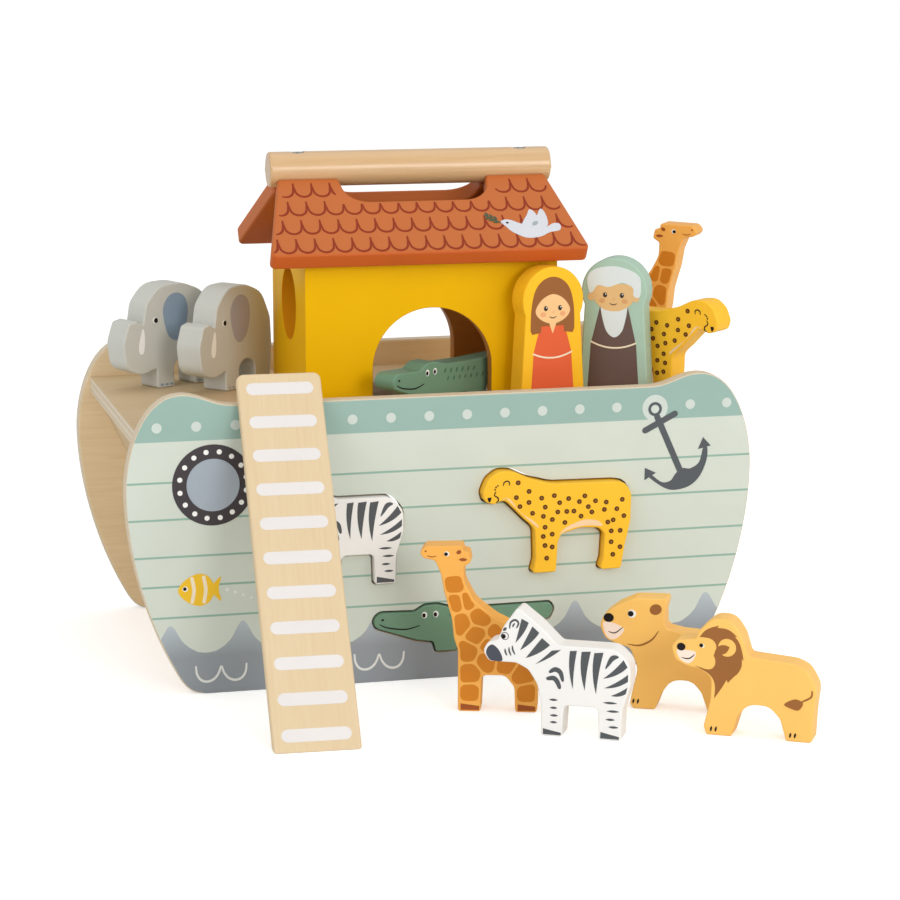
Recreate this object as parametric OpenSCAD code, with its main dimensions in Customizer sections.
// Wooden toy boat with a cabin, a lift-off roof, a boarding ramp and flat animal and people figures.
// Millimetres. X runs along the hull, Y from the front panel to the back panel, Z points up.
// The origin is the middle of the hull's flat base, on the floor.

/* [Hull] */
// Length of the side panels at their widest height
hull_l = 340; // [334:1:352]
// Depth over both side panels
hull_d = 199; // [195:1:205]
// Thickness of the side panels
panel_t = 9; // [8:0.5:10]
// Height of the straight top edge of the side panels
panel_h = 153; // [150:0.5:155]
// Rise of the rounded panel ends above the straight top edge
hump_rise = 6.3; // [4:0.1:8]
// Height of the widest point of the side panels
widest_z = 108; // [102:1:112]
// Length of the flat base
base_l = 258; // [250:1:266]
// Height of the deck's top face
deck_z = 138.5; // [136:0.5:140]
// Thickness of the deck
deck_t = 9; // [8:0.5:10]
// Thickness of the end boards and the bottom board
board_t = 9; // [8:0.5:10]
// Lean of the end boards from upright, in degrees
board_lean = 26.3; // [24:0.1:28]
// Length of the hatch in the deck
hatch_l = 84; // [70:1:90]
// Width of the hatch in the deck
hatch_w = 46; // [36:1:50]

/* [Cabin] */
// Width of the cabin over its end walls
cabin_w = 140; // [136:1:142]
// Depth of the cabin over its front and back walls
cabin_d = 92; // [89:1:94]
// Height of the front and back walls above the deck
cabin_h = 82.1; // [80:0.1:85]
// Thickness of the cabin walls
wall_t = 9; // [8:0.5:10]
// Width of the arched doorways
arch_w = 66.2; // [64:0.2:70]
// Height of the arched doorways above the deck
arch_h = 53.2; // [50:0.1:56]
// Diameter of the round windows in the end walls
window_d = 40; // [34:1:42]
// Height of the round windows' middle above the deck
window_z = 51.8; // [48:0.1:55]

/* [Roof] */
// Slope of the roof plates, in degrees
roof_slope = 34; // [33:0.5:35]
// Thickness of the roof plates
roof_t = 10; // [9:0.5:11]
// Length of a roof plate along the eave
eave_l = 174.6; // [170:0.2:180]
// Length of a roof plate along the ridge
ridge_l = 145; // [142:1:150]
// Overhang of the eave in front of the cabin wall
eave_out = 15; // [13:0.5:16]
// Diameter of the round ridge handle
handle_d = 19.2; // [17:0.2:21]
// Length of the ridge handle
handle_l = 157; // [154:1:164]
// Length of the grip gap under the handle
grip_l = 86; // [78:1:90]
// Distance from the eave to the grip gap, up the slope
grip_s = 43; // [40:0.5:48]

/* [Ramp] */
// Width of the boarding ramp
ramp_w = 44; // [40:0.5:45]
// Thickness of the boarding ramp
ramp_t = 6; // [5:0.5:7]
// Length of the boarding ramp above the front panel's top edge
ramp_past = 14.6; // [11:0.2:17]
// Radius of the ramp's upper corners
ramp_corner = 4; // [2:0.5:6]
// Distance of the ramp's foot from the front panel
ramp_out = 111; // [106:0.5:116]

/* [Figures] */
// Thickness of the figures other than the elephants
figure_t = 14; // [12:0.5:15]
// Thickness of the elephants
elephant_t = 17; // [15.5:0.5:18]
// Height of the zebras
zebra_h = 65; // [62:0.5:67]
// Height of the giraffes
giraffe_h = 87; // [84:0.5:89]
// Height of the leopards
leopard_h = 56.5; // [54:0.5:58]
// Height of the lion
lion_h = 60; // [57:0.5:62]
// Height of the lioness
lioness_h = 58.8; // [56:0.2:61]
// Height of the elephants
elephant_h = 58.5; // [56:0.5:60]
// Height of the crocodiles
crocodile_h = 25.8; // [24.8:0.2:26.4]
// Height of the woman
woman_h = 76; // [73:0.5:78]
// Height of the man
man_h = 78.5; // [75:0.5:80]
// Diameter of the people's heads
person_head_d = 36.6; // [34:0.2:37]
// Width of the people's bases
person_base = 39; // [36:0.5:39.5]
// Gap between a figure and its slot
slot_gap = 1; // [0.6:0.1:1.5]

/* [Floor places] */
// Distance of the floor zebra's front foot to the right of the middle
floor_zebra_x = 19; // [18:0.1:20]
// Distance of the floor zebra's front foot from the front panel
floor_zebra_out = 117.5; // [116.5:0.1:118.5]
// Distance of the floor giraffe's front foot to the right of the middle
floor_giraffe_x = -10.2; // [-11.2:0.1:-9.2]
// Distance of the floor giraffe's front foot from the front panel
floor_giraffe_out = 64.9; // [63.9:0.1:65.9]
// Distance of the lion's front foot to the right of the middle
lion_x = 99.6; // [98.6:0.1:100.6]
// Distance of the lion's front foot from the front panel
lion_out = 136; // [135:0.1:137]
// Distance of the lioness's front foot to the right of the middle
lioness_x = 78.5; // [77.5:0.1:79.5]
// Distance of the lioness's front foot from the front panel
lioness_out = 82.2; // [81.2:0.1:83.2]

/* [Deck places] */
// Distance of the blue-eared elephant's front foot from the deck's left end
blue_ear_end = 31.6; // [30.6:0.1:32.6]
// Distance of the blue-eared elephant's front foot from the back panel
blue_ear_in = 49.7; // [48.7:0.1:50.7]
// Distance of the grey-eared elephant's front foot from the cabin's left wall
grey_ear_side = 31.5; // [30.5:0.1:32.5]
// Distance of the grey-eared elephant's front foot in front of the cabin's back
grey_ear_in = 24.5; // [23.5:0.1:25.5]
// Distance of the doorway crocodile's snout to the left of the cabin's middle
doorway_side = 29.8; // [28.8:0.1:30.8]
// Distance of the doorway crocodile's snout from the cabin's front wall
doorway_out = 32.5; // [31.5:0.1:33.5]
// Distance of the woman's middle from the deck's right end
woman_end = 94.4; // [93.4:0.1:95.4]
// Distance of the woman's front face from the cabin's front wall
woman_out = 20.2; // [19.2:0.1:21.2]
// Distance of the man's middle from the deck's right end
man_end = 57.8; // [56.8:0.1:58.8]
// Distance of the man's front face from the cabin's front wall
man_out = 12; // [11:0.1:13]
// Distance of the deck leopard's front foot from the deck's right end
deck_leopard_end = 25; // [24:0.1:26]
// Distance of the deck leopard's front foot from the cabin's front wall
deck_leopard_out = 17.5; // [16.5:0.1:18.5]
// Distance of the deck giraffe's front foot from the deck's right end
deck_giraffe_end = 4.5; // [3.5:0.1:5.5]
// Distance of the deck giraffe's front foot from the back panel
deck_giraffe_in = 72.4; // [71.4:0.1:73.4]

/* [Hidden] */

// Smoothness of true circles
$fn = 64;
// Largest turn of one step in a rounded corner, in degrees
arc_step = 15;
// Share of an edge that one rounded corner may use
corner_reach = 0.48;
// Smallest radius of an inner corner
corner_min = 0.3;
// Steps in one panel curve
curve_steps = 14;
// Overrun of cutting shapes
cut = 1;

// Colours
mint = [0.80, 0.83, 0.78];
plywood = [0.80, 0.69, 0.50];
yellow = [0.91, 0.71, 0.05];
terracotta = [0.81, 0.47, 0.27];
beech = [0.87, 0.70, 0.49];
birch = [0.92, 0.85, 0.71];
steel = [0.62, 0.62, 0.60];
elephant_grey = [0.76, 0.77, 0.75];
lion_tan = [0.98, 0.77, 0.41];
giraffe_orange = [0.95, 0.68, 0.31];
zebra_white = [0.93, 0.92, 0.90];
leopard_yellow = [0.98, 0.75, 0.18];
crocodile_green = [0.39, 0.57, 0.47];
woman_yellow = [0.97, 0.75, 0.20];
man_mint = [0.66, 0.77, 0.69];

// Panel faces
front_y = -hull_d / 2;
front_in_y = front_y + panel_t;
back_y = hull_d / 2;
back_in_y = back_y - panel_t;

// Panel outline
half_l = hull_l / 2;
base_half = base_l / 2;
bilge_w = 15;
bilge_h = 10;
hump_in = 29.5;
flat_in = 58;
bilge = [base_half + bilge_w, bilge_h];
widest = [half_l, widest_z];
hump = [half_l - hump_in, panel_h + hump_rise];
flat_end = [half_l - flat_in, panel_h];
bilge_pull = [0.5, 0.73, 0.3];
side_pull = [0.65, 0.31, 0.3];
shoulder_pull = [0.41, 0.695];
hump_pull = [0.4, 0.44];

// Deck and boards
deck_inset = 7.5;
deck_half = half_l - deck_inset;
board_inset = 2.7;
deck_under = deck_z - deck_t;
board_top_x = deck_half - board_inset;
board_run = deck_under * tan(board_lean);
board_flat = board_t / cos(board_lean);
board_foot_x = board_top_x - board_run;
hatch_y = 11;

// Cabin
cabin_x = 6;
cabin_front_y = -cabin_d / 2;
cabin_back_y = cabin_d / 2 - wall_t;
cabin_left_x = cabin_x - cabin_w / 2;
cabin_right_x = cabin_x + cabin_w / 2 - wall_t;
cabin_in_half = cabin_d / 2 - wall_t;
arch_spring = arch_h - arch_w / 2;

// Roof, drawn about its own middle line
roof_x = cabin_x - 2;
roof_turn = 1.5;
roof_rest = 0.2;
roof_gap = roof_rest + cabin_w / 2 * sin(roof_turn) * tan(roof_slope);
roof_under_z = deck_z + cabin_h + roof_gap + cabin_d / 2 * tan(roof_slope);
roof_over_z = roof_under_z + roof_t / cos(roof_slope);
eave_y = cabin_d / 2 + eave_out;
eave_z = roof_over_z - eave_y * tan(roof_slope);
slope_l = eave_y / cos(roof_slope);
plate_r = 3;
grip_r = 14;
grip_taper = 5;
handle_rise = -1.6;
handle_z = roof_over_z + handle_rise;
neck_w = 8;
gable_drop = 18;
gable_z = roof_under_z - gable_drop;
gable_half = (gable_drop - roof_gap) / tan(roof_slope);
block_clear = 2;
block_l = 18;
block_z = gable_z + block_clear;
block_half = (roof_under_z - block_z) / tan(roof_slope);
neck_z = roof_under_z - neck_w / 2 * tan(roof_slope);

// Screws through the handle
screw_half = 62;
screw_l = 30;
screw_d = 3.6;
screw_head_d = 8;
screw_head_h = 2.4;
screw_sink = 0.5;
screw_gap = 0.1;
recess_l = 4.4;
recess_w = 0.9;
recess_h = 1.5;
screw_top = handle_z + handle_d / 2 - screw_sink;

// Ramp leaning on the front panel's top edge
ramp_x = -93.9;
ramp_turn = 2.5;
ramp_gap = 0.1;
ramp_reach = (ramp_out - ramp_w / 2 * sin(ramp_turn)) / cos(ramp_turn) - ramp_gap;
ramp_lean = atan2(panel_h, ramp_reach);
ramp_l = norm([panel_h, ramp_reach]) + ramp_past;
ramp_foot = ramp_t / tan(ramp_lean);

// Slots in the front panel: front of the animal and height of its feet, then how far it stands out
zebra_slot = [-69, 54.2];
zebra_proud = 4;
leopard_slot = [46.3, 55.7];
leopard_proud = 6;
crocodile_slot = [-40, 14.9];
crocodile_proud = 1;

// Slots in the back panel
elephant_slot = [-78, 48];
giraffe_slot = [-14, 22];
lion_slot = [50, 48];

// Places on the floor, measured from the front panel
floor_zebra_spot = [floor_zebra_x, front_y - floor_zebra_out, 0];
floor_zebra_turn = -29.3;
floor_giraffe_spot = [floor_giraffe_x, front_y - floor_giraffe_out, 0];
floor_giraffe_turn = -18.4;
lion_spot = [lion_x, front_y - lion_out, 0];
lion_turn = -31.4;
lioness_spot = [lioness_x, front_y - lioness_out, 0];
lioness_turn = -27;

// Places on the deck, measured from the panels, the deck ends and the cabin
blue_ear_spot = [blue_ear_end - deck_half, back_in_y - blue_ear_in, deck_z];
blue_ear_turn = 26;
grey_ear_spot = [cabin_left_x - grey_ear_side, cabin_d / 2 - grey_ear_in, deck_z];
grey_ear_turn = 40;
doorway_spot = [cabin_x - doorway_side, cabin_front_y - doorway_out, deck_z];
doorway_turn = 35;
woman_spot = [deck_half - woman_end, cabin_front_y - woman_out, deck_z];
woman_turn = 11;
man_spot = [deck_half - man_end, cabin_front_y - man_out, deck_z];
man_turn = -31;
deck_leopard_spot = [deck_half - deck_leopard_end, cabin_front_y - deck_leopard_out, deck_z];
deck_leopard_turn = -50.4;
deck_giraffe_spot = [deck_half - deck_giraffe_end, back_in_y - deck_giraffe_in, deck_z];
deck_giraffe_turn = -34.8;

// Figure outlines facing left: distance behind the front foot, height, corner radius
zebra_points = [
    [0, 0, 1.5], [10.5, 0, 1.5], [11.5, 16, 2.5], [28.5, 16, 2.5], [29, 0, 1.5], [40, 0, 1.5],
    [40.5, 15, 6], [44.5, 28, 8], [44.5, 39, 9], [37, 46.2, 8], [8.5, 46.2, 4], [-1.5, 56, 6],
    [-12, 64, 1.8], [-19, 54, 6], [-22, 47, 3], [-27, 45.5, 3.5],
    [-29.5, 41, 3.5], [-26.5, 36, 3], [-12.5, 36, 4], [-6.5, 33, 6], [-2, 26, 8], [0, 16, 10]];
giraffe_points = [
    [0, 0, 1.5], [11.5, 0, 1.5], [12.3, 19, 2.5], [24, 19, 5], [28.6, 13, 5], [29, 0, 1.5],
    [40, 0, 1.5], [40.5, 14, 10], [39, 32, 10], [31, 43.2, 10], [19, 49, 10], [8.6, 57.3, 12],
    [3.2, 67.5, 10], [3, 75, 1.5], [6.8, 77.4, 1.8], [5.6, 82.3, 1.5], [2.6, 83, 1],
    [2.4, 85.8, 1.6], [-16.5, 85.2, 3], [-19.5, 81.8, 2.4], [-17, 79, 2], [-11.5, 78, 3],
    [-8.5, 71, 6], [-7, 62, 8], [-3, 48, 10], [-2, 38, 6], [0, 32, 4]];
leopard_points = [
    [-0.4, 0, 1.6], [12.8, 0, 1.6], [13.8, 16, 4], [15.5, 20.6, 4], [26.5, 23.6, 12], [36, 23, 4],
    [39.8, 20, 4], [39, 6.5, 4], [37, 0, 1.6], [49, 0, 1.6], [51, 12, 12],
    [54.2, 26, 12], [54.6, 41, 7], [51, 46.8, 6], [45, 47.8, 8], [10, 48.2, 15], [-2, 51.5, 12],
    [-11, 55.8, 10], [-19, 56.5, 8], [-25, 52, 8], [-27.8, 45, 4], [-26.5, 40.2, 3],
    [-21.5, 38.4, 3], [-16, 41, 5], [-10, 35, 10], [-4.5, 29.3, 8], [1, 24.5, 6], [1.5, 7.5, 5]];
lion_points = [
    [0, 0, 1.5], [12.3, 0, 1.5], [15.3, 10.5, 6], [20, 16.5, 8], [30.5, 16.5, 8], [36, 10.5, 6],
    [39, 0, 1.5], [51.5, 0, 1.5], [52.2, 14, 12], [53.6, 27, 9], [48.5, 36, 10], [42, 38.6, 10],
    [19.8, 40.3, 2.5], [16.8, 50, 9], [11.5, 58, 8], [2.5, 58.2, 8], [-4, 52, 6], [-6, 47.3, 3],
    [-15.5, 46, 2.5], [-18, 42.5, 2.5], [-15.8, 36, 4], [-10, 33.5, 4], [-3, 32.3, 6],
    [2, 28.5, 5], [1.8, 18, 12], [-1.5, 4, 2]];
lioness_points = [
    [0, 0, 1.5], [11, 0, 1.5], [14, 8, 6], [19, 15.8, 8], [29.5, 16, 8], [34.5, 10, 6],
    [38, 0, 1.5], [50.5, 0, 1.5], [51.5, 14, 12], [53, 28, 9], [49, 37, 10], [42, 39.5, 10],
    [24, 40.5, 8], [15.7, 42.3, 3], [15.5, 50, 4], [17, 57.6, 1.5], [0, 57.2, 8],
    [-9, 52.8, 10], [-15.5, 47.8, 6], [-17.5, 42, 5], [-14.5, 35.5, 5], [-8, 33, 5],
    [-2, 31.5, 4], [2.2, 21, 10], [-1, 7, 6], [-1.7, 2.5, 2]];
elephant_points = [
    [0, 0, 1.5], [11.5, 0, 1.5], [11.5, 16.3, 6.9], [25.5, 16.3, 6.9], [25.5, 0, 1.5],
    [38.5, 0, 1.5], [40.5, 22, 12], [39.5, 38, 14], [32, 53, 14], [18, 58.5, 18], [2, 58, 14],
    [-7, 48, 10], [-9, 36.5, 0.8], [-13, 39.3, 2], [-18.5, 38, 2.5], [-22.5, 27, 10],
    [-20.5, 12, 9], [-10, 8.6, 9], [0, 11.5, 1]];
// The crocodile is measured from the tip of its snout
crocodile_points = [
    [34.5, 0, 1.5], [45.5, 0, 1.5], [47.5, 6, 3], [62, 6, 3], [64, 0, 1.5], [75, 0, 1.5],
    [78, 8, 5], [88, 13, 10], [97, 14.5, 3], [99.5, 20, 3], [97, 23.3, 2.5], [64, 23, 20],
    [43, 23.6, 10], [35, 25.8, 5], [28, 25.5, 4], [22.5, 22.3, 4], [4, 22.8, 4], [0, 19.5, 4],
    [1.5, 14.5, 4], [24, 6.8, 8], [33, 5.5, 2]];
// Angle below level at which a person's head meets the neck
neck_angle = 25;

// Direction from one point to another
function unit(v) = v / norm(v);

// Flat part of an outline point, counted round the outline
function at(o, i) =
    let(p = o[(i + len(o)) % len(o)])
    [p[0], p[1]];

// Outward side of the edge from a to b
function outward(a, b) =
    let(d = unit(b - a))
    [d[1], -d[0]];

// Turn between two angles, the short way round
function short_turn(a) = a > 180 ? a - 360 : a < -180 ? a + 360 : a;

// Points of one rounded corner
function corner(a, p, b, r) =
    let(
        u = unit(a - p),
        v = unit(b - p),
        half = acos(u * v) / 2,
        t = min(r / tan(half), corner_reach * min(norm(a - p), norm(b - p))),
        rr = t * tan(half),
        c = p + unit(u + v) * rr / sin(half),
        s = p + u * t - c,
        e = p + v * t - c,
        a0 = atan2(s[1], s[0]),
        sweep = short_turn(atan2(e[1], e[0]) - a0),
        n = max(1, ceil(abs(sweep) / arc_step)))
    [for (k = [0 : n]) c + rr * [cos(a0 + sweep * k / n), sin(a0 + sweep * k / n)]];

// Outline with all its corners rounded
function rounded(o) =
    [for (i = [0 : len(o) - 1]) each corner(at(o, i - 1), at(o, i), at(o, i + 1), o[i][2])];

// Outline grown outwards by an even gap
function grown(o, d) =
    [for (i = [0 : len(o) - 1])
        let(
            p = at(o, i),
            a = at(o, i - 1),
            b = at(o, i + 1),
            n1 = outward(a, p),
            n2 = outward(p, b),
            m = p + d * (n1 + n2) / (1 + n1 * n2),
            r = cross(p - a, b - p) > 0 ? o[i][2] + d : max(o[i][2] - d, corner_min))
        [m[0], m[1], r]];

// Outline scaled to a height
function sized(o, h) =
    let(k = h / max([for (p = o) p[1]]))
    [for (p = o) p * k];

// Outline facing the other way
function turned(o) =
    [for (i = [len(o) - 1 : -1 : 0]) [-o[i][0], o[i][1], o[i][2]]];

// Points of a curve with two handles, without its last point
function curve(a, b, c, d) =
    [for (k = [0 : curve_steps - 1])
        let(t = k / curve_steps, s = 1 - t)
        s * s * s * a + 3 * s * s * t * b + 3 * s * t * t * c + t * t * t * d];

zebra = sized(zebra_points, zebra_h);
giraffe = sized(giraffe_points, giraffe_h);
leopard = sized(leopard_points, leopard_h);
lion_shape = sized(lion_points, lion_h);
lioness_shape = sized(lioness_points, lioness_h);
elephant = sized(elephant_points, elephant_h);
crocodile = sized(crocodile_points, crocodile_h);

// Person: straight sides below a round head
head_r = person_head_d / 2;
head_steps = ceil((180 + 2 * neck_angle) / arc_step) * 2;
function person(h) = concat(
    [[-person_base / 2, 0], [person_base / 2, 0]],
    [for (k = [0 : head_steps])
        let(a = -neck_angle + (180 + 2 * neck_angle) * k / head_steps)
        [head_r * cos(a), h - head_r + head_r * sin(a)]]);

// Right half of the panel outline from the base up to the straight top edge
panel_half = concat(
    curve([base_half, 0],
        [base_half + bilge_w * bilge_pull[0], 0],
        [base_half + bilge_w * bilge_pull[1], bilge_h * bilge_pull[2]],
        bilge),
    curve(bilge,
        [bilge[0] + (half_l - bilge[0]) * side_pull[0], bilge_h + (widest_z - bilge_h) * side_pull[1]],
        [half_l, widest_z - (widest_z - bilge_h) * side_pull[2]],
        widest),
    curve(widest,
        [half_l, widest_z + (hump[1] - widest_z) * shoulder_pull[0]],
        [hump[0] + hump_in * shoulder_pull[1], hump[1]],
        hump),
    curve(hump,
        [hump[0] - (hump[0] - flat_end[0]) * hump_pull[0], hump[1]],
        [flat_end[0] + (hump[0] - flat_end[0]) * hump_pull[1], panel_h],
        flat_end),
    [flat_end]);
panel_points = concat(
    panel_half,
    [for (i = [len(panel_half) - 1 : -1 : 0]) [-panel_half[i][0], panel_half[i][1]]]);

// Upright slab from a flat outline, from y = 0 towards the back
module slab(points, t) {
    translate([0, t, 0])
    rotate([90, 0, 0])
    linear_extrude(t)
    polygon(points);
}

// Slab from an outline seen from the end of the hull, from x = 0 towards the right
module cross_slab(points, t) {
    rotate([90, 0, 90])
    linear_extrude(t)
    polygon(points);
}

module stand(spot, turn) {
    translate(spot)
    rotate([0, 0, turn])
    children();
}

module slot(o, place, y) {
    translate([place[0], y - cut, place[1]])
    slab(rounded(grown(o, slot_gap)), panel_t + 2 * cut);
}

module front_panel() {
    color(mint)
    difference() {
        translate([0, front_y, 0])
        slab(panel_points, panel_t);
        slot(zebra, zebra_slot, front_y);
        slot(leopard, leopard_slot, front_y);
        slot(crocodile, crocodile_slot, front_y);
    }
}

module back_panel() {
    color(mint)
    difference() {
        translate([0, back_in_y, 0])
        slab(panel_points, panel_t);
        slot(elephant, elephant_slot, back_in_y);
        slot(giraffe, giraffe_slot, back_in_y);
        slot(lion_shape, lion_slot, back_in_y);
    }
}

module deck() {
    color(plywood)
    difference() {
        translate([-deck_half, front_in_y, deck_under])
        cube([2 * deck_half, back_in_y - front_in_y, deck_t]);
        translate([cabin_x - hatch_l / 2, hatch_y - hatch_w / 2, deck_under - cut])
        cube([hatch_l, hatch_w, deck_t + 2 * cut]);
    }
}

module end_board(side) {
    translate([0, front_in_y, 0])
    slab([
        [side * board_foot_x, 0],
        [side * board_top_x, deck_under],
        [side * (board_top_x - board_flat), deck_under],
        [side * (board_foot_x - board_flat), 0]], back_in_y - front_in_y);
}

module bow_board() {
    color(plywood)
    end_board(-1);
}

module stern_board() {
    color(plywood)
    end_board(1);
}

module bottom_board() {
    foot = board_foot_x - board_flat;
    head = foot + board_t * tan(board_lean);
    color(plywood)
    translate([0, front_in_y, 0])
    slab([[-foot, 0], [foot, 0], [head, board_t], [-head, board_t]], back_in_y - front_in_y);
}

module arch_wall(y) {
    difference() {
        translate([cabin_left_x, y, deck_z])
        cube([cabin_w, wall_t, cabin_h]);
        translate([cabin_x, y - cut, deck_z + arch_spring])
        rotate([-90, 0, 0])
        cylinder(d = arch_w, h = wall_t + 2 * cut);
        translate([cabin_x - arch_w / 2, y - cut, deck_z - cut])
        cube([arch_w, wall_t + 2 * cut, arch_spring + cut]);
    }
}

module cabin_front_wall() {
    color(yellow)
    arch_wall(cabin_front_y);
}

module cabin_back_wall() {
    color(yellow)
    arch_wall(cabin_back_y);
}

module gable_wall(x) {
    shoulder_z = roof_under_z - roof_gap - cabin_in_half * tan(roof_slope);
    difference() {
        translate([x, 0, 0])
        cross_slab([
            [-cabin_in_half, deck_z],
            [cabin_in_half, deck_z],
            [cabin_in_half, shoulder_z],
            [gable_half, gable_z],
            [-gable_half, gable_z],
            [-cabin_in_half, shoulder_z]], wall_t);
        translate([x - cut, 0, deck_z + window_z])
        rotate([0, 90, 0])
        cylinder(d = window_d, h = wall_t + 2 * cut);
    }
}

module cabin_left_wall() {
    color(yellow)
    gable_wall(cabin_left_x);
}

module cabin_right_wall() {
    color(yellow)
    gable_wall(cabin_right_x);
}

module handle_rod() {
    translate([-handle_l / 2, 0, handle_z])
    rotate([0, 90, 0])
    cylinder(d = handle_d, h = handle_l);
}

module roof_plate() {
    half = grip_l / 2;
    difference() {
        translate([0, -eave_y, eave_z])
        rotate([roof_slope, 0, 0])
        translate([0, 0, -roof_t])
        linear_extrude(roof_t)
        polygon(rounded([
            [-eave_l / 2, 0, plate_r],
            [eave_l / 2, 0, plate_r],
            [ridge_l / 2, slope_l, corner_min],
            [half, slope_l, corner_min],
            [half - grip_taper, grip_s, grip_r],
            [grip_taper - half, grip_s, grip_r],
            [-half, slope_l, corner_min],
            [-ridge_l / 2, slope_l, corner_min]]));
        handle_rod();
        translate([-handle_l / 2, -neck_w / 2, eave_z])
        cube([handle_l, neck_w / 2 + handle_d, handle_z - eave_z]);
    }
}

// The lifted-off roof sits back on the walls a little askew
module on_roof() {
    translate([roof_x, 0, 0])
    rotate([0, 0, -roof_turn])
    children();
}

module roof_front_plate() {
    color(terracotta)
    on_roof()
    roof_plate();
}

module roof_back_plate() {
    color(terracotta)
    on_roof()
    rotate([0, 0, 180])
    roof_plate();
}

module ridge_block(side) {
    x = side * screw_half;
    on_roof()
    difference() {
        translate([x - block_l / 2, 0, 0])
        cross_slab([
            [-block_half, block_z],
            [block_half, block_z],
            [neck_w / 2, neck_z],
            [neck_w / 2, handle_z],
            [-neck_w / 2, handle_z],
            [-neck_w / 2, neck_z]], block_l);
        handle_rod();
        translate([x, 0, screw_top - screw_l])
        cylinder(d = screw_d, h = screw_l);
    }
}

module ridge_block_left() {
    color(beech)
    ridge_block(-1);
}

module ridge_block_right() {
    color(beech)
    ridge_block(1);
}

module screw_bore(x) {
    translate([x, 0, handle_z - handle_d])
    cylinder(d = screw_d + 2 * screw_gap, h = 2 * handle_d);
    translate([x, 0, screw_top - screw_head_h])
    cylinder(d1 = screw_d + 2 * screw_gap, d2 = screw_head_d + 2 * screw_gap, h = screw_head_h);
    translate([x, 0, screw_top])
    cylinder(d = screw_head_d + 2 * screw_gap, h = handle_d);
}

module ridge_handle() {
    color(beech)
    on_roof()
    difference() {
        handle_rod();
        screw_bore(-screw_half);
        screw_bore(screw_half);
    }
}

module screw(x) {
    difference() {
        union() {
            translate([x, 0, screw_top - screw_l])
            cylinder(d = screw_d, h = screw_l);
            translate([x, 0, screw_top - screw_head_h])
            cylinder(d1 = screw_d, d2 = screw_head_d, h = screw_head_h);
        }
        translate([x - recess_l / 2, -recess_w / 2, screw_top - recess_h])
        cube([recess_l, recess_w, recess_h + cut]);
        translate([x - recess_w / 2, -recess_l / 2, screw_top - recess_h])
        cube([recess_w, recess_l, recess_h + cut]);
    }
}

module handle_screws() {
    color(steel)
    on_roof() {
        screw(-screw_half);
        screw(screw_half);
    }
}

module ramp() {
    color(birch)
    translate([ramp_x, front_y - ramp_out, 0])
    rotate([0, 0, -ramp_turn])
    rotate([ramp_lean, 0, 0])
    difference() {
        linear_extrude(ramp_t)
        hull() {
            translate([-ramp_w / 2, -2 * ramp_foot])
            square([ramp_w, ramp_foot]);
            for (side = [-1, 1])
                translate([side * (ramp_w / 2 - ramp_corner), ramp_l - ramp_corner])
                circle(ramp_corner);
        }
        rotate([-ramp_lean, 0, 0])
        translate([-ramp_w, -4 * ramp_t, -4 * ramp_t])
        cube([2 * ramp_w, 8 * ramp_t, 4 * ramp_t]);
    }
}

module elephant_blue_ear() {
    color(elephant_grey)
    stand(blue_ear_spot, blue_ear_turn)
    slab(rounded(elephant), elephant_t);
}

module elephant_grey_ear() {
    color(elephant_grey)
    stand(grey_ear_spot, grey_ear_turn)
    slab(rounded(elephant), elephant_t);
}

module lion() {
    color(lion_tan)
    stand(lion_spot, lion_turn)
    slab(rounded(lion_shape), figure_t);
}

module lioness() {
    color(lion_tan)
    stand(lioness_spot, lioness_turn)
    slab(rounded(lioness_shape), figure_t);
}

module floor_giraffe() {
    color(giraffe_orange)
    stand(floor_giraffe_spot, floor_giraffe_turn)
    slab(rounded(giraffe), figure_t);
}

module deck_giraffe() {
    color(giraffe_orange)
    stand(deck_giraffe_spot, deck_giraffe_turn)
    slab(rounded(turned(giraffe)), figure_t);
}

module floor_zebra() {
    color(zebra_white)
    stand(floor_zebra_spot, floor_zebra_turn)
    slab(rounded(zebra), figure_t);
}

module slot_zebra() {
    color(zebra_white)
    translate([zebra_slot[0], front_y - zebra_proud, zebra_slot[1]])
    slab(rounded(zebra), figure_t);
}

module deck_leopard() {
    color(leopard_yellow)
    stand(deck_leopard_spot, deck_leopard_turn)
    slab(rounded(turned(leopard)), figure_t);
}

module slot_leopard() {
    color(leopard_yellow)
    translate([leopard_slot[0], front_y - leopard_proud, leopard_slot[1]])
    slab(rounded(leopard), figure_t);
}

module doorway_crocodile() {
    color(crocodile_green)
    stand(doorway_spot, doorway_turn)
    slab(rounded(crocodile), figure_t);
}

module slot_crocodile() {
    color(crocodile_green)
    translate([crocodile_slot[0], front_y - crocodile_proud, crocodile_slot[1]])
    slab(rounded(crocodile), figure_t);
}

module woman() {
    color(woman_yellow)
    stand(woman_spot, woman_turn)
    slab(person(woman_h), figure_t);
}

module man() {
    color(man_mint)
    stand(man_spot, man_turn)
    slab(person(man_h), figure_t);
}

front_panel();
back_panel();
deck();
bow_board();
stern_board();
bottom_board();
cabin_front_wall();
cabin_back_wall();
cabin_left_wall();
cabin_right_wall();
roof_front_plate();
roof_back_plate();
ridge_block_left();
ridge_block_right();
ridge_handle();
handle_screws();
ramp();
elephant_blue_ear();
elephant_grey_ear();
lion();
lioness();
floor_giraffe();
deck_giraffe();
floor_zebra();
slot_zebra();
deck_leopard();
slot_leopard();
doorway_crocodile();
slot_crocodile();
woman();
man();
